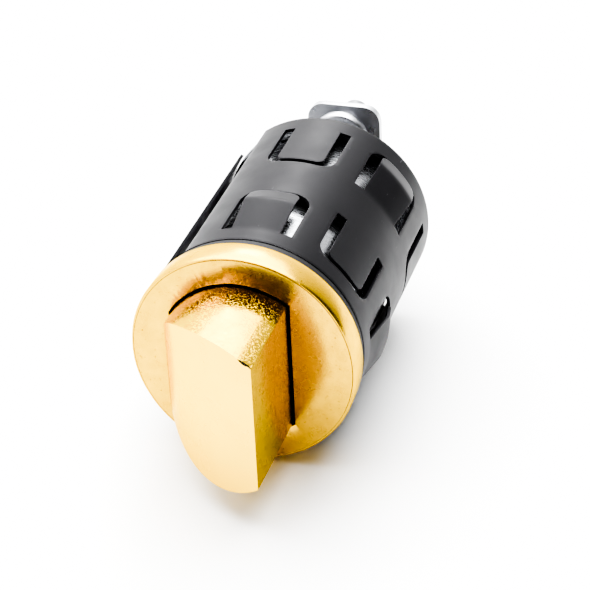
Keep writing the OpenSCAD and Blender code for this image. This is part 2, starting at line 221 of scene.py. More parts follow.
def settle(piece, body, slot, materials, *nodes):
    """Gives a piece its materials and body, and hides the CAD nodes that it stands for; the slot
    argument is not used.
    """
    pick(piece)
    bpy.ops.object.transform_apply(location=True, rotation=True, scale=True)
    for m in materials[len(piece.data.materials):]:
        piece.data.materials.append(m)
    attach(piece, body)
    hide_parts(*nodes)


# Satin gold plating: brass under a thin gold plate, blasted to a fine even satin, which gives soft
# highlights, with cloudy patches some 2 mm wide and a few darker pits where the plate is thin.
gold, place = new_material("satin_gold_plating")
patches = add_node(gold, "ShaderNodeTexNoise", {"Vector": place, "Scale": 1 / (2.0 * MM),
                                                "Detail": 6.0, "Roughness": 0.6})
pits = add_node(gold, "ShaderNodeTexNoise",
                {"Vector": place, "Scale": 1 / (0.45 * MM), "Detail": 3.0})
cloud = add_node(gold, "ShaderNodeMapRange", {"Value": patches.outputs["Fac"], "From Min": 0.35,
                                              "From Max": 0.68})
speck = add_node(gold, "ShaderNodeMapRange", {"Value": pits.outputs["Fac"], "From Min": 0.66,
                                              "From Max": 0.76})
even = add_node(gold, "ShaderNodeMix", {0: cloud.outputs[0], 6: linear("#DAB023"),
                                        7: linear("#CCA31C")}, data_type="RGBA")
colour = add_node(gold, "ShaderNodeMix", {0: speck.outputs[0], 6: even.outputs[2],
                                          7: linear("#94700F")}, data_type="RGBA")
gloss = add_node(gold, "ShaderNodeMapRange", {"Value": patches.outputs["Fac"], "From Min": 0.35,
                                              "From Max": 0.7, "To Min": 0.22, "To Max": 0.30})
relief = add_node(gold, "ShaderNodeBump", {"Height": pits.outputs["Fac"], "Strength": 0.30,
                                           "Distance": 0.03 * MM})
shader = add_node(gold, "ShaderNodeBsdfPrincipled",
                  {"Base Color": colour.outputs[2], "Roughness": gloss.outputs[0],
                   "Normal": relief.outputs[0], "Metallic": 1.0,
                   "Specular Tint": linear("#FFEDA0")})
add_node(gold, "ShaderNodeOutputMaterial", {"Surface": shader.outputs[0]})

# sizes in mm, as depths behind the panel's face; the front of the bezel is less than 0
bezel_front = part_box("bezel_ring")[0].y / MM
bezel_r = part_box("bezel_ring")[1].x / MM
spigot_r, land_r, web_back, web_front = 12.375, 14.7, -0.5, -1.2
taper, rim_bevel, rim_bevel_h, rim_wall = 0.1, 0.2, 0.55, 0.4
bezel = lathe("bezel", [(spigot_r, web_back), (land_r, web_back), (land_r, 0), (bezel_r - taper, 0),
                        (bezel_r, bezel_front + rim_bevel_h), (bezel_r - rim_bevel, bezel_front),
                        (bezel_r - rim_wall, bezel_front), (bezel_r - rim_wall, web_front),
                        (spigot_r, web_front)], 192)
soften(bezel, 0.05, 2)
settle(bezel, "housing", "gold_bezel", [gold], "bezel_ring")

# ---------------------------------------------------------------------------------------------
# The dial: a shallow dished brass disc that turns with the knob inside the bezel's wall. Its
# opening follows the knob with a narrow gap all round.
dial_r, dial_t, dish = 14.57, 1.6, 0.15
opening_r, opening_left, opening_right = 11.15, -9.45, 6.68


def knob_prism(name, r, left, right, near, far):
    """A round bar along the axis with two flat sides, from one depth to another, in mm."""
    bpy.ops.object.select_all(action="DESELECT")
    bpy.ops.mesh.primitive_cylinder_add(vertices=192, radius=r * MM, depth=(far - near) * MM,
                                        location=(0, (near + far) / 2 * MM, 0),
                                        rotation=(pi / 2, 0, 0))
    made = bpy.context.object
    made.name = name
    bpy.ops.object.transform_apply(location=True, rotation=True, scale=True)
    start_edit(made)
    for x, side in ((left, -1), (right, 1)):
        bpy.ops.mesh.select_all(action="SELECT")
        bpy.ops.mesh.bisect(plane_co=(x * MM, 0, 0), plane_no=(side, 0, 0), use_fill=True,
                            clear_outer=True)
    end_edit()
    return made


dial_back = bezel_front + dial_t
dial = lathe("dial_face", [(0, dial_back), (dial_r, dial_back), (dial_r, bezel_front),
                           (opening_r, bezel_front + dish), (0, bezel_front + dish)], 192)
cut_past = 2
carve(dial, knob_prism("opening", opening_r, opening_left, opening_right, bezel_front - cut_past,
                       dial_back + cut_past))
soften(dial, 0.04, 2)

# Painted gap shade: a near black, faintly mottled brass laid on the walls of the narrow gap round
# the knob, the knob's sides below the dial and the hub, where shade falls; it is painted shade, not
# a finish.
gap_shade, place = new_material("painted_gap_shade")
gap_shade_mottle = add_node(gap_shade, "ShaderNodeTexNoise", {"Vector": place, "Scale": 1 / (0.8 * MM),
                                                "Detail": 3.0})
colour = add_node(gap_shade, "ShaderNodeMix", {0: gap_shade_mottle.outputs["Fac"], 6: linear("#0B0906"),
                                             7: linear("#1C150B")}, data_type="RGBA")
shader = add_node(gap_shade, "ShaderNodeBsdfPrincipled",
                  {"Base Color": colour.outputs[2], "Metallic": 0.3, "Roughness": 0.6})
add_node(gap_shade, "ShaderNodeOutputMaterial", {"Surface": shader.outputs[0]})
for m in (gold, gap_shade):
    dial.data.materials.append(m)
# the faces of the dial's opening wall take the painted gap shade
for face in dial.data.polygons:
    radius = (face.center.x ** 2 + face.center.z ** 2) ** 0.5 / MM
    in_opening = abs(face.normal.y) < 0.3 and radius < opening_r + 0.1
    face.material_index = 1 if in_opening else 0
settle(dial, "rotor", "gold_bezel", [], "dial")

# ---------------------------------------------------------------------------------------------
# The thumb knob: one piece of cast brass, gold plated, with two round ends, two flat sides and a
# bowed front that slopes from its low side to its tall side. The front is linished smooth, and
# the ends and sides keep the grain of the casting.
knob_low, knob_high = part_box("knob")
knob_r = knob_high.z / MM
low_side, tall_side = knob_low.x / MM, knob_high.x / MM
tall_y = knob_low.y / MM
low_edge_h, bow_r = 2.6, 22.7
low_y = bezel_front - low_edge_h
chord = Vector((tall_side - low_side, tall_y - low_y))
middle = Vector(((tall_side + low_side) / 2, (tall_y + low_y) / 2))
inward = Vector((-chord.y, chord.x)).normalized()
centre = middle + inward * (bow_r ** 2 - chord.length ** 2 / 4) ** 0.5

knob = knob_prism("thumb_knob", knob_r, low_side, tall_side, tall_y - 1, dial_back)
bpy.ops.object.select_all(action="DESELECT")
bpy.ops.mesh.primitive_cylinder_add(vertices=360, radius=bow_r * MM, depth=4 * knob_r * MM,
                                    location=(centre.x * MM, centre.y * MM, 0))
carve(knob, bpy.context.object, "INTERSECT")

# the tall side leans out by a hair towards its upper front corner
lean = 0.45
tall_side_w = 2 * (knob_r ** 2 - tall_side ** 2) ** 0.5
for vertex in knob.data.vertices:
    if vertex.co.x / MM > tall_side - 0.01:
        out = (bezel_front - vertex.co.y / MM) / (bezel_front - tall_y)
        up = vertex.co.z / MM / tall_side_w + 0.5
        vertex.co.x += lean * max(out, 0) * up * MM

# a small casting flaw nicks the edge between the bowed front and the upper end, by the tall side
nick_x = tall_side - 1.1
nick_z = (knob_r ** 2 - nick_x ** 2) ** 0.5
nick_y = centre.y - (bow_r ** 2 - (nick_x - centre.x) ** 2) ** 0.5
nick_sink_y, nick_sink_z = 0.05, 0.02
bpy.ops.object.select_all(action="DESELECT")
bpy.ops.mesh.primitive_ico_sphere_add(subdivisions=3, radius=1 * MM, scale=(1.25, 0.22, 0.26),
                                      location=(nick_x * MM, (nick_y + nick_sink_y) * MM,
                                                (nick_z + nick_sink_z) * MM),
                                      rotation=(0, radians(29), 0))
flaw = bpy.context.object

# the knob's slots, in order; the flaw has as many, so that its cut keeps the painted shade
CAST, LINISHED_LIT, PAINTED_SHADE, SHADED_FLAT = range(4)
for m in (gap_shade,) * (PAINTED_SHADE + 1):
    flaw.data.materials.append(m)
for face in flaw.data.polygons:
    face.material_index = PAINTED_SHADE

# Cast gold plate: the same plating over a cast skin. Small blisters some 0.3 mm apart stand on it,
# drawn coarse enough to show, and each throws a glint; the flat skin between them is darkened as
# painted shade.
cast_gold, place = new_material("cast_gold_plating")
patches = add_node(cast_gold, "ShaderNodeTexNoise", {"Vector": place, "Scale": 1 / (1.6 * MM),
                                                     "Detail": 5.0})
shade = add_node(cast_gold, "ShaderNodeMapRange",
                 {"Value": patches.outputs["Fac"], "From Min": 0.35, "From Max": 0.65})
grain = add_node(cast_gold, "ShaderNodeTexNoise", {"Vector": place, "Scale": 1 / (0.30 * MM),
                                                   "Detail": 3.0, "Roughness": 0.6})
blister = add_node(cast_gold, "ShaderNodeMapRange",
                   {"Value": grain.outputs["Fac"], "From Min": 0.51, "From Max": 0.70},
                   interpolation_type="SMOOTHSTEP")
# painted shade: the colour darkens where the grain is low, between the blisters
shade_between_blisters = add_node(cast_gold, "ShaderNodeMapRange", {"Value": grain.outputs["Fac"], "From Min": 0.60,
                                                    "From Max": 0.44, "To Max": 0.5})
even = add_node(cast_gold, "ShaderNodeMix", {0: shade.outputs[0], 6: linear("#E7C231"),
                                             7: linear("#D7AF22")}, data_type="RGBA")
colour = add_node(cast_gold, "ShaderNodeMix", {0: shade_between_blisters.outputs[0], 6: even.outputs[2],
                                               7: linear("#A07C14")}, data_type="RGBA")
gloss = add_node(cast_gold, "ShaderNodeMapRange",
                 {"Value": patches.outputs["Fac"], "From Min": 0.35, "From Max": 0.7,
                  "To Min": 0.12, "To Max": 0.19})
swell = add_node(cast_gold, "ShaderNodeTexNoise", {"Vector": place, "Scale": 1 / (1.1 * MM),
                                                   "Detail": 2.0})
skin = add_node(cast_gold, "ShaderNodeBump", {"Height": swell.outputs["Fac"], "Strength": 0.15,
                                              "Distance": 0.16 * MM})
relief = add_node(cast_gold, "ShaderNodeBump", {"Height": blister.outputs[0], "Strength": 0.6,
                                                "Distance": 0.031 * MM, "Normal": skin.outputs[0]})
shader = add_node(cast_gold, "ShaderNodeBsdfPrincipled",
                  {"Base Color": colour.outputs[2], "Roughness": gloss.outputs[0],
                   "Normal": relief.outputs[0], "Metallic": 1.0,
                   "Specular Tint": linear("#FFEDA0")})
add_node(cast_gold, "ShaderNodeOutputMaterial", {"Surface": shader.outputs[0]})

# Flat gold with painted shade: the two flats take a darker, browner and duller copy of the gold
# plating, which stands in for the shade they lie in, with a fine grain.
shaded_flat_gold, place = new_material("gold_plating_with_painted_shade_on_flats")
patches = add_node(shaded_flat_gold, "ShaderNodeTexNoise", {"Vector": place, "Scale": 1 / (1.2 * MM),
                                                     "Detail": 5.0})
shade = add_node(shaded_flat_gold, "ShaderNodeMapRange",
                 {"Value": patches.outputs["Fac"], "From Min": 0.35, "From Max": 0.65})
colour = add_node(shaded_flat_gold, "ShaderNodeMix", {0: shade.outputs[0], 6: linear("#8C7019"),
                                               7: linear("#836715")}, data_type="RGBA")
gloss = add_node(shaded_flat_gold, "ShaderNodeMapRange",
                 {"Value": patches.outputs["Fac"], "From Min": 0.35, "From Max": 0.7,
                  "To Min": 0.24, "To Max": 0.29})
grain = add_node(shaded_flat_gold, "ShaderNodeTexNoise", {"Vector": place, "Scale": 1 / (0.22 * MM),
                                                   "Detail": 3.0})
relief = add_node(shaded_flat_gold, "ShaderNodeBump", {"Height": grain.outputs["Fac"], "Strength": 0.45,
                                                "Distance": 0.05 * MM})
shader = add_node(shaded_flat_gold, "ShaderNodeBsdfPrincipled",
                  {"Base Color": colour.outputs[2], "Roughness": gloss.outputs[0],
                   "Normal": relief.outputs[0], "Metallic": 1.0,
                   "Specular Tint": linear("#FFEDA0")})
add_node(shaded_flat_gold, "ShaderNodeOutputMaterial", {"Surface": shader.outputs[0]})

# Linished gold plate: the bowed front is rubbed smooth on a fine belt before plating, so that it is
# the most even of the gold faces, with a trace of fine grain. Its paler, brighter base colour is
# painted light.
smooth_lit_gold, place = new_material("linished_gold_plating_with_painted_light")
patches = add_node(smooth_lit_gold, "ShaderNodeTexNoise", {"Vector": place, "Scale": 1 / (4.0 * MM),
                                                       "Detail": 5.0})
colour = add_node(smooth_lit_gold, "ShaderNodeMix", {0: patches.outputs["Fac"], 6: linear("#F7CC48"),
                                                 7: linear("#F2C23A")}, data_type="RGBA")
grain = add_node(smooth_lit_gold, "ShaderNodeTexNoise", {"Vector": place, "Scale": 1 / (0.5 * MM),
                                                     "Detail": 2.0})
gloss = add_node(smooth_lit_gold, "ShaderNodeMapRange",
                 {"Value": patches.outputs["Fac"], "From Min": 0.35, "From Max": 0.7,
                  "To Min": 0.24, "To Max": 0.30})
relief = add_node(smooth_lit_gold, "ShaderNodeBump", {"Height": grain.outputs["Fac"], "Strength": 0.15,
                                                  "Distance": 0.03 * MM})
shader = add_node(smooth_lit_gold, "ShaderNodeBsdfPrincipled",
                  {"Base Color": colour.outputs[2], "Roughness": gloss.outputs[0],
                   "Normal": relief.outputs[0], "Metallic": 1.0,
                   "Specular Tint": linear("#FFEDA0")})
add_node(smooth_lit_gold, "ShaderNodeOutputMaterial", {"Surface": shader.outputs[0]})

# from just inside the dial's opening backwards, the knob's walls are painted near black as shade in
# the gap
painted_shade_start = bezel_front + 0.25
for m in (cast_gold, smooth_lit_gold, gap_shade, shaded_flat_gold):
    knob.data.materials.append(m)
start_edit(knob)
bpy.ops.mesh.select_all(action="SELECT")
bpy.ops.mesh.bisect(plane_co=(0, painted_shade_start * MM, 0), plane_no=(0, 1, 0))
end_edit()
for face in knob.data.polygons:
    if face.center.y > painted_shade_start * MM:
        face.material_index = PAINTED_SHADE
    # the bowed front takes the smooth gold with painted light
    elif face.normal.y < -0.5:
        face.material_index = LINISHED_LIT
    # the flats take the darker copy of the gold, painted shade
    elif abs(face.normal.x) > 0.98:
        face.material_index = SHADED_FLAT
    else:
        face.material_index = CAST
carve(knob, flaw)
soften(knob, 0.08, 3)
settle(knob, "rotor", "gold_knob", [], "knob")

# ---------------------------------------------------------------------------------------------
# The barrel: a turned steel tube with a spigot that the bezel is pressed on and a pocket for the
# hub. It is seen through the sleeve's windows and its split.

# Bright nickel plating: over the lathe's turning rings, and like orange peel up close, so that it
# mirrors the room in broken streaks.
nickel, place = new_material("bright_nickel_plating")
rings = add_node(nickel, "ShaderNodeMapping", {"Vector": place, "Scale": (40, 1 / (0.35 * MM), 40)})
lines = add_node(nickel, "ShaderNodeTexNoise",
                 {"Vector": rings.outputs[0], "Scale": 1.0, "Detail": 3.0})
gloss = add_node(nickel, "ShaderNodeMapRange", {"Value": lines.outputs["Fac"], "From Min": 0.3,
                                                "From Max": 0.7, "To Min": 0.20, "To Max": 0.34})
colour = add_node(nickel, "ShaderNodeMix", {0: lines.outputs["Fac"], 6: linear("#B9BABD"),
                                            7: linear("#8F9195")}, data_type="RGBA")
orange = add_node(nickel, "ShaderNodeTexNoise", {"Vector": place, "Scale": 1 / (0.35 * MM),
                                                 "Detail": 3.0})
peel = add_node(nickel, "ShaderNodeBump", {"Height": orange.outputs["Fac"], "Strength": 0.5,
                                           "Distance": 0.06 * MM})
relief = add_node(nickel, "ShaderNodeBump", {"Height": lines.outputs["Fac"], "Strength": 0.15,
                                             "Distance": 0.02 * MM, "Normal": peel.outputs[0]})
shader = add_node(nickel, "ShaderNodeBsdfPrincipled",
                  {"Base Color": colour.outputs[2], "Roughness": gloss.outputs[0],
                   "Normal": relief.outputs[0], "Metallic": 1.0})
add_node(nickel, "ShaderNodeOutputMaterial", {"Surface": shader.outputs[0]})

barrel_r, bore_r, pocket_r, pocket_floor, barrel_end = 12.95, 9.5, 11.4, 3.1, 33.9
barrel = lathe("barrel_tube", [(bore_r, pocket_floor), (pocket_r, pocket_floor),
                               (pocket_r, web_front), (spigot_r, web_front), (spigot_r, web_back),
                               (barrel_r, web_back), (barrel_r, barrel_end), (bore_r, barrel_end)])
soften(barrel, 0.15, 2)
settle(barrel, "housing", "nickel_barrel", [nickel], "barrel")

# ---------------------------------------------------------------------------------------------
# The mounting sleeve: a rolled sheet of spring steel, blackened, split along one side, with two
# rows of tongues cut out of it. Half of the tongues are sprung outwards to grip the panel's hole.
# It is laid out flat, cut and edged, and then rolled.
sheet_t, sleeve_r = 0.45, 14.65
mid_r = sleeve_r - sheet_t / 2
sleeve_near, sleeve_far = 1.5, 35.9
window_w, window_len, window_corner = 9.45, 10.0, 2.2
tongue_w, tongue_gap, tongue_corner, tongue_lift = 6.4, 0.8, 1.1, 1.0
rows = (9.5, 27.9)

# directions round the axis in degrees, from +X towards +Z; the split takes one of seven places
split_at, split_angle, first_place, place_angle = 137, 22, 90, 360 / 7
sheet_len = mid_r * radians(360 - split_angle)
middle_azimuth = split_at + 180

# flat sheet: x runs round the sleeve, z along the switch axis, and -y is outwards
bpy.ops.object.select_all(action="DESELECT")
bpy.ops.mesh.primitive_grid_add(x_subdivisions=112, y_subdivisions=70, size=1,
                                location=(0, 0, (sleeve_near + sleeve_far) / 2 * MM),
                                rotation=(pi / 2, 0, 0))
sleeve = bpy.context.object
sleeve.name = "spring_sleeve"
sleeve.scale = (sheet_len * MM, (sleeve_far - sleeve_near) * MM, 1)
bpy.ops.object.transform_apply(location=True, rotation=True, scale=True)
apply_modifier(sleeve, "SOLIDIFY", thickness=sheet_t * MM, offset=0)


block_depth = 3


def rounded_block(w, length, corner, x, z, free):
    """A block along y, with two corners rounded at its +z end for free 1, or its -z end for -1."""
    bpy.ops.object.select_all(action="DESELECT")
    bpy.ops.mesh.primitive_cube_add(size=1, location=(x * MM, 0, z * MM),
                                    scale=(w * MM, block_depth * MM, length * MM))
    made = bpy.context.object
    bpy.ops.object.transform_apply(location=True, rotation=True, scale=True)
    end_z = (z + free * length / 2) * MM
    start_edit(made)
    bpy.ops.mesh.select_mode(type="EDGE")
    end_edit()
    for edge in made.data.edges:
        ends = [made.data.vertices[v].co for v in edge.vertices]
        at_end = all(abs(p.z - end_z) < 1e-6 for p in ends)
        edge.select = at_end and abs(ends[0].x - ends[1].x) < 1e-6
    bpy.ops.object.mode_set(mode="EDIT")
    bpy.ops.mesh.bevel(offset=corner * MM, segments=8, affect="EDGES")
    end_edit()
    return made


def flat_x(azimuth):
    """How far along the flat sheet, from its middle, a direction lies, in mm."""
    turn = (middle_azimuth - azimuth) % 360
    return mid_r * radians(turn - 360 if turn > 180 else turn)


# each slot is a window less its tongue, whose root runs on into the sheet
root = 1
tongues = []
slots = []
for i in range(6):
    for row in (0, 1):
        sprung = (i + row) % 2 == 0
        free = 1 if sprung else -1
        x, z = flat_x(first_place - i * place_angle), rows[row]
        tongues.append((x, z, free, sprung))
        slot = rounded_block(window_w, window_len, window_corner, x, z, free)
        tongue = rounded_block(tongue_w, window_len - tongue_gap + root, tongue_corner, x,
                               z - free * (tongue_gap + root) / 2, free)
        tongue.scale.y = 1.5
        carve(slot, tongue)
        slots.append(slot)
bpy.ops.object.select_all(action="DESELECT")
for slot in slots:
    slot.select_set(True)
bpy.context.view_layer.objects.active = slots[0]
bpy.ops.object.join()
carve(sleeve, slots[0])
sleeve.data.materials.clear()

# Blackened spring steel: a thin black oxide on rolled strip, a satin dark grey that is faintly
# cloudy, with a few fine scuffs some 0.25 mm wide and 2.5 mm long where it has been handled.
black_steel, place = new_material("blackened_spring_steel")
patches = add_node(black_steel, "ShaderNodeTexNoise", {"Vector": place, "Scale": 1 / (4.0 * MM),
                                                       "Detail": 4.0})
colour = add_node(black_steel, "ShaderNodeMix", {0: patches.outputs["Fac"], 6: linear("#18181A"),
                                                 7: linear("#201F22")}, data_type="RGBA")
gloss = add_node(black_steel, "ShaderNodeMapRange",
                 {"Value": patches.outputs["Fac"], "From Min": 0.3, "From Max": 0.7, "To Min": 0.36,
                  "To Max": 0.46})
across, along = 1 / (0.25 * MM), 1 / (2.5 * MM)
scuffs = add_node(black_steel, "ShaderNodeMapping", {"Vector": place, "Rotation": (0.3, 0.5, 0.4),
                                                     "Scale": (across, along, across)})
scratch = add_node(black_steel, "ShaderNodeTexNoise", {"Vector": scuffs.outputs[0], "Scale": 1.0,
                                                       "Detail": 3.0})
bare = add_node(black_steel, "ShaderNodeMapRange",
                {"Value": scratch.outputs["Fac"], "From Min": 0.72, "From Max": 0.80})
worn = add_node(black_steel, "ShaderNodeMix", {0: bare.outputs[0], 6: colour.outputs[2],
                                               7: linear("#4E4E51")}, data_type="RGBA")
grain = add_node(black_steel, "ShaderNodeTexNoise", {"Vector": place, "Scale": 1 / (0.2 * MM),
                                                     "Detail": 2.0})
relief = add_node(black_steel, "ShaderNodeBump", {"Height": grain.outputs["Fac"], "Strength": 0.15,
                                                  "Distance": 0.02 * MM})
shader = add_node(black_steel, "ShaderNodeBsdfPrincipled",
                  {"Base Color": worn.outputs[2], "Roughness": gloss.outputs[0],
                   "Normal": relief.outputs[0], "Metallic": 0.15, "Specular IOR Level": 0.1})
add_node(black_steel, "ShaderNodeOutputMaterial", {"Surface": shader.outputs[0]})

# Rubbed edge: the punched edges have lost their oxide in places and show bare steel, and their
# brighter grey is in part a painted highlight along the cut edges.
edge_highlight_steel, place = new_material("bare_steel_edge_with_painted_highlight")
patches = add_node(edge_highlight_steel, "ShaderNodeTexNoise", {"Vector": place, "Scale": 1 / (1.5 * MM),
                                                        "Detail": 3.0})
colour = add_node(edge_highlight_steel, "ShaderNodeMix", {0: patches.outputs["Fac"], 6: linear("#545457"),
                                                  7: linear("#98989C")}, data_type="RGBA")
shader = add_node(edge_highlight_steel, "ShaderNodeBsdfPrincipled",
                  {"Base Color": colour.outputs[2], "Metallic": 0.8, "Roughness": 0.35})
add_node(edge_highlight_steel, "ShaderNodeOutputMaterial", {"Surface": shader.outputs[0]})
for m in (black_steel, edge_highlight_steel):
    sleeve.data.materials.append(m)
# every bevelled cut edge takes the brighter edge material, in part a painted highlight
apply_modifier(sleeve, "BEVEL", width=0.09 * MM, segments=2, limit_method="ANGLE",
               angle_limit=radians(28), material=1)

# the sprung tongues rise from their root, and turn in again near the tip
bend_share, tip_share = 0.68, 0.45
side_slack, tip_slack = 0.05, 0.02
for vertex in sleeve.data.vertices:
    for x, z, free, sprung in tongues:
        share = ((vertex.co.z / MM - z) * free + window_len / 2) / (window_len - tongue_gap)
        beside = abs(vertex.co.x / MM - x) < tongue_w / 2 + side_slack
        if sprung and beside and 0 < share < 1 + tip_slack:
            if share < bend_share:
                lift = share / bend_share
            else:
                lift = 1 - (1 - tip_share) * (share - bend_share) / (1 - bend_share)
            vertex.co.y -= tongue_lift * lift * MM

# the flat sheet is rolled, its middle is moved off the axis, and it is turned to its place
apply_modifier(sleeve, "SIMPLE_DEFORM", deform_method="BEND", deform_axis="Z",
               angle=radians(360 - split_angle))
start_edit(sleeve)
bpy.ops.mesh.select_all(action="SELECT")
bpy.ops.transform.translate(value=(0, -mid_r * MM, 0))
end_edit()
sleeve.rotation_euler = (-pi / 2, 0, 0)
bpy.ops.object.transform_apply(location=True, rotation=True, scale=True)
sleeve.rotation_euler = (0, radians(90 - middle_azimuth), 0)
bpy.ops.object.transform_apply(location=True, rotation=True, scale=True)
bpy.ops.object.shade_smooth_by_angle(angle=radians(32))
settle(sleeve, "housing", "blackened_spring_steel", [], "mounting_sleeve")

# ---------------------------------------------------------------------------------------------
# The gasket: a moulded rubber ring round the barrel. It fills the groove in the bezel's back, and
# the sleeve is pushed up against it.

# Nitrile rubber: moulded, matt and nearly black, with a faint cloudy bloom on its skin.
rubber, place = new_material("black_nitrile_rubber")
bloom = add_node(rubber, "ShaderNodeTexNoise", {"Vector": place, "Scale": 1 / (1.2 * MM),
                                                "Detail": 3.0})
colour = add_node(rubber, "ShaderNodeMix", {0: bloom.outputs["Fac"], 6: linear("#070707"),
                                            7: linear("#101011")}, data_type="RGBA")
relief = add_node(rubber, "ShaderNodeBump", {"Height": bloom.outputs["Fac"], "Strength": 0.2,
                                             "Distance": 0.03 * MM})
shader = add_node(rubber, "ShaderNodeBsdfPrincipled",
                  {"Base Color": colour.outputs[2], "Normal": relief.outputs[0], "Roughness": 0.6,
                   "Specular IOR Level": 0.3})
add_node(rubber, "ShaderNodeOutputMaterial", {"Surface": shader.outputs[0]})
gasket_r = 14.6
gasket = lathe("gasket", [(barrel_r, web_back), (gasket_r, web_back), (gasket_r, sleeve_near),
                          (barrel_r, sleeve_near)])
soften(gasket, 0.2, 3)
settle(gasket, "housing", "black_rubber", [rubber], "panel_gasket")

# ---------------------------------------------------------------------------------------------
# The end plate: a nickel plated disc with a chamfered rim, held on the barrel by three slotted
# cheese head screws of plain steel.
plate_r, plate_hole_r, plate_far = 14.0, 4.3, 35.4
end_plate = lathe("end_plate_disc", [(plate_hole_r, barrel_end), (plate_r, barrel_end),
                                     (plate_r, plate_far), (plate_hole_r, plate_far)])
soften(end_plate, 0.25, 3)

# Face turned nickel plating: the lathe leaves fine rings on the disc, drawn here 0.5 mm apart so
# that they show, under a bright but slightly milky plate.
turned_nickel, place = new_material("face_turned_nickel_plating")
wave_at_scale_1 = 0.314
rings = add_node(turned_nickel, "ShaderNodeTexWave", {"Vector": place,
                                                      "Scale": wave_at_scale_1 / (0.5 * MM),
                                                      "Distortion": 1.2, "Detail": 2.0,
                                                      "Detail Scale": 1.0},
                 wave_type="RINGS", rings_direction="Y")
milk = add_node(turned_nickel, "ShaderNodeTexNoise", {"Vector": place, "Scale": 1 / (3.5 * MM),
                                                      "Detail": 4.0})
colour = add_node(turned_nickel, "ShaderNodeMix", {0: milk.outputs["Fac"], 6: linear("#8E8F92"),
                                                   7: linear("#66686C")}, data_type="RGBA")
gloss = add_node(turned_nickel, "ShaderNodeMapRange",
                 {"Value": milk.outputs["Fac"], "From Min": 0.3, "From Max": 0.7, "To Min": 0.20,
                  "To Max": 0.32})
relief = add_node(turned_nickel, "ShaderNodeBump", {"Height": rings.outputs["Fac"], "Strength": 0.4,
                                                    "Distance": 0.03 * MM})
shader = add_node(turned_nickel, "ShaderNodeBsdfPrincipled",
                  {"Base Color": colour.outputs[2], "Roughness": gloss.outputs[0],
                   "Normal": relief.outputs[0], "Metallic": 1.0})
add_node(turned_nickel, "ShaderNodeOutputMaterial", {"Surface": shader.outputs[0]})
settle(end_plate, "housing", "nickel_barrel", [turned_nickel], "end_plate")

# Plain steel: turned or cold headed and lightly oiled, a light grey metal that the film of oil
# makes duller in small patches.
steel, place = new_material("oiled_plain_steel")
smear = add_node(steel, "ShaderNodeTexNoise", {"Vector": place, "Scale": 1 / (0.8 * MM),
                                               "Detail": 4.0})
colour = add_node(steel, "ShaderNodeMix", {0: smear.outputs["Fac"], 6: linear("#B4B6B9"),
                                           7: linear("#8C8E92")}, data_type="RGBA")
gloss = add_node(steel, "ShaderNodeMapRange", {"Value": smear.outputs["Fac"], "From Min": 0.3,
                                               "From Max": 0.7, "To Min": 0.22, "To Max": 0.4})
shader = add_node(steel, "ShaderNodeBsdfPrincipled",
                  {"Base Color": colour.outputs[2], "Roughness": gloss.outputs[0], "Metallic": 1.0})
add_node(steel, "ShaderNodeOutputMaterial", {"Surface": shader.outputs[0]})

screw_at, shank_r, shank_tip = 11.225, 1.25, 27.9
head_r, head_h, slot_w = 2.1, 1.2, 0.6
head_top = plate_far + head_h
screw = lathe("end_screw_1", [(0, shank_tip), (shank_r, shank_tip), (shank_r, plate_far),
                              (head_r, plate_far), (head_r, head_top), (0, head_top)], 48)
bpy.ops.object.select_all(action="DESELECT")
bpy.ops.mesh.primitive_cube_add(size=1, location=(0, head_top * MM, 0),
                                scale=(3 * head_r * MM, head_h * MM, slot_w * MM))
carve(screw, bpy.context.object)
soften(screw, 0.12, 2)
screws = [screw]
for n in (2, 3):
    twin = screw.copy()
    twin.data = screw.data.copy()
    twin.name = f"end_screw_{n}"
    bpy.context.collection.objects.link(twin)
    screws.append(twin)

# each screw was tightened to its own stop, so that their slots point different ways
for n, one in enumerate(screws):
    azimuth = radians(30 + 120 * n)
    one.location = (screw_at * cos(azimuth) * MM, 0, screw_at * sin(azimuth) * MM)
    one.rotation_euler = (0, 0.7 + 1.9 * n, 0)
    settle(one, "housing", "steel_fixings", [steel], *(["end_screws"] if n == 0 else []))

# ---------------------------------------------------------------------------------------------
# The tail cam: a pressed steel arm with rounded corners and a turned boss, on the spindle's square.
# A flat headed stud is riveted in the arm, and a screw and washer hold the cam.

# Bright zinc plating: a light bluish grey with a soft cloudy spangle, half way to a mirror.
zinc, place = new_material("bright_zinc_plating")
spangle = add_node(zinc, "ShaderNodeTexNoise", {"Vector": place, "Scale": 1 / (1.2 * MM),
                                                "Detail": 4.0})
colour = add_node(zinc, "ShaderNodeMix", {0: spangle.outputs["Fac"], 6: linear("#C4C5C8"),
                                          7: linear("#A6A7AB")}, data_type="RGBA")
gloss = add_node(zinc, "ShaderNodeMapRange", {"Value": spangle.outputs["Fac"], "From Min": 0.3,
                                              "From Max": 0.7, "To Min": 0.26, "To Max": 0.40})
relief = add_node(zinc, "ShaderNodeBump", {"Height": spangle.outputs["Fac"], "Strength": 0.25,
                                           "Distance": 0.05 * MM})
shader = add_node(zinc, "ShaderNodeBsdfPrincipled",
                  {"Base Color": colour.outputs[2], "Roughness": gloss.outputs[0],
                   "Normal": relief.outputs[0], "Metallic": 1.0})
add_node(zinc, "ShaderNodeOutputMaterial", {"Surface": shader.outputs[0]})

cam_near, arm_near, cam_far = 44.0, 45.4, 46.5
cam_w, cam_len, cam_corner, cam_hub_r = 10.6, 12.0, 2.4, 6.6
boss_r, square_w, stud_at = 5.2, 4.8, 7.7
cam = lathe("cam_arm", [(0, cam_near), (boss_r, cam_near), (boss_r, arm_near),
                        (cam_hub_r, arm_near), (cam_hub_r, cam_far), (0, cam_far)], 96)
arm = rounded_block(cam_w, cam_len, cam_corner, 0, cam_len / 2, 1)
arm.location.y = (arm_near + cam_far) / 2 * MM
arm.scale.y = (cam_far - arm_near) / block_depth
carve(cam, arm, "UNION")
bpy.ops.object.select_all(action="DESELECT")
bpy.ops.mesh.primitive_cube_add(size=square_w * MM, location=(0, (cam_near + cam_far) / 2 * MM, 0))
carve(cam, bpy.context.object)
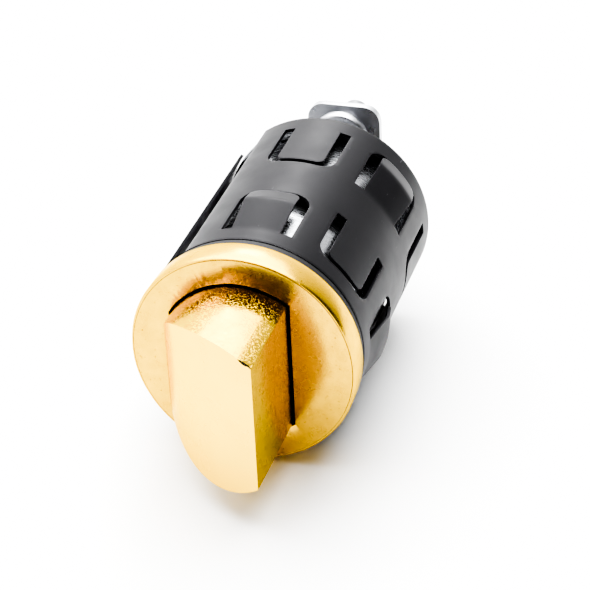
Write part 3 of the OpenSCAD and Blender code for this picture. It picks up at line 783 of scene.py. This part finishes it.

# Zinc with painted shade: behind the arm's back, on the back of the arm and the stud's pin, the
# plate is painted a darker grey as shade, and is rougher.
rear_shaded_zinc, place = new_material("zinc_plating_with_painted_rear_shade")
rear_shade_mottle = add_node(rear_shaded_zinc, "ShaderNodeTexNoise", {"Vector": place, "Scale": 1 / (0.9 * MM),
                                                 "Detail": 5.0})
colour = add_node(rear_shaded_zinc, "ShaderNodeMix", {0: rear_shade_mottle.outputs["Fac"], 6: linear("#8C8E91"),
                                               7: linear("#626468")}, data_type="RGBA")
gloss = add_node(rear_shaded_zinc, "ShaderNodeMapRange", {"Value": rear_shade_mottle.outputs["Fac"], "From Min": 0.3,
                                                   "From Max": 0.7, "To Min": 0.28, "To Max": 0.46})
relief = add_node(rear_shaded_zinc, "ShaderNodeBump", {"Height": rear_shade_mottle.outputs["Fac"], "Strength": 0.3,
                                                "Distance": 0.05 * MM})
shader = add_node(rear_shaded_zinc, "ShaderNodeBsdfPrincipled",
                  {"Base Color": colour.outputs[2], "Roughness": gloss.outputs[0],
                   "Normal": relief.outputs[0], "Metallic": 1.0})
add_node(rear_shaded_zinc, "ShaderNodeOutputMaterial", {"Surface": shader.outputs[0]})


def shade_behind(piece):
    """Gives a piece bright plating, and the darker zinc with painted shade from the arm's back to
    the rear.
    """
    for m in (zinc, rear_shaded_zinc):
        piece.data.materials.append(m)
    for face in piece.data.polygons:
        face.material_index = 1 if face.center.y > (cam_far - 0.01) * MM else 0


shade_behind(cam)
soften(cam, 0.2, 3)
settle(cam, "rotor", "bright_zinc_cam", [], "tail_cam")

# the stud's head has a low crown, and its pin a small bevel at the end
stud_head_r, collar_r, rivet_r, pin_r, pin_end, pin_bevel = 4.1, 2.6, 1.6, 2.0, 52.5, 0.4
crown = [(0, 42.5), (3.3, 42.6), (3.9, 42.85), (stud_head_r, 43.3)]
stud = lathe("stud", crown + [(stud_head_r, cam_near), (collar_r, cam_near), (collar_r, arm_near),
                              (rivet_r, arm_near), (rivet_r, cam_far), (pin_r, cam_far),
                              (pin_r, pin_end - pin_bevel), (pin_r - pin_bevel, pin_end),
                              (0, pin_end)], 72)
shade_behind(stud)
soften(stud, 0.08, 2)
stud.location.z = stud_at * MM
settle(stud, "rotor", "bright_zinc_cam", [], "drive_stud")

cap_r, cap_h, cap_shank_r, cap_tip, washer_r, washer_t = 2.7, 2, 1.5, 39.5, 3.6, 0.8
washer_far = cam_far + washer_t
washer = lathe("cam_screw_washer", [(cap_shank_r, cam_far), (washer_r, cam_far),
                                    (washer_r, washer_far), (cap_shank_r, washer_far)], 72)
soften(washer, 0.12, 2)
settle(washer, "rotor", "steel_fixings", [steel], "cam_washer")
cap_top = washer_far + cap_h
tail_screw = lathe("cam_cap_screw", [(0, cap_tip), (cap_shank_r, cap_tip),
                                     (cap_shank_r, washer_far), (cap_r, washer_far),
                                     (cap_r, cap_top), (0, cap_top)], 72)
hex_r = 1.45
bpy.ops.object.select_all(action="DESELECT")
bpy.ops.mesh.primitive_cylinder_add(vertices=6, radius=hex_r * MM, depth=cap_h * MM,
                                    location=(0, cap_top * MM, 0), rotation=(pi / 2, 0, 0))
carve(tail_screw, bpy.context.object)
soften(tail_screw, 0.15, 2)
settle(tail_screw, "rotor", "steel_fixings", [steel], "cam_screw")

# ---------------------------------------------------------------------------------------------
# The inner parts, which the CAD gives as they are: sintered bronze bushes and washer, the hub,
# the rubber seal, the spindle and its clip, and the spacer tube, pins and screws of plain steel.

# Sintered bronze: pressed from powder and soaked in oil, a dull brown grey with fine dark pores.
bronze, place = new_material("oiled_sintered_bronze")
pores = add_node(bronze, "ShaderNodeTexNoise", {"Vector": place, "Scale": 1 / (0.3 * MM),
                                                "Detail": 3.0})
colour = add_node(bronze, "ShaderNodeMix", {0: pores.outputs["Fac"], 6: linear("#94897A"),
                                            7: linear("#6B6053")}, data_type="RGBA")
shader = add_node(bronze, "ShaderNodeBsdfPrincipled",
                  {"Base Color": colour.outputs[2], "Metallic": 1.0, "Roughness": 0.45})
add_node(bronze, "ShaderNodeOutputMaterial", {"Surface": shader.outputs[0]})
steel_parts = ("spacer_tube", "stop_pin", "dial_pins", "hub_pin", "knob_screws", "spindle")
# the hub, down in the gap round the knob, takes the painted gap shade
for names, finish in ((("front_bush", "rear_bush", "thrust_washer"), bronze), (("hub",), gap_shade),
                      (("shaft_seal",), rubber), (("circlip",), black_steel), (steel_parts, steel)):
    for name in names:
        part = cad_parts[name]
        part.data.materials.clear()
        part.data.materials.append(finish)
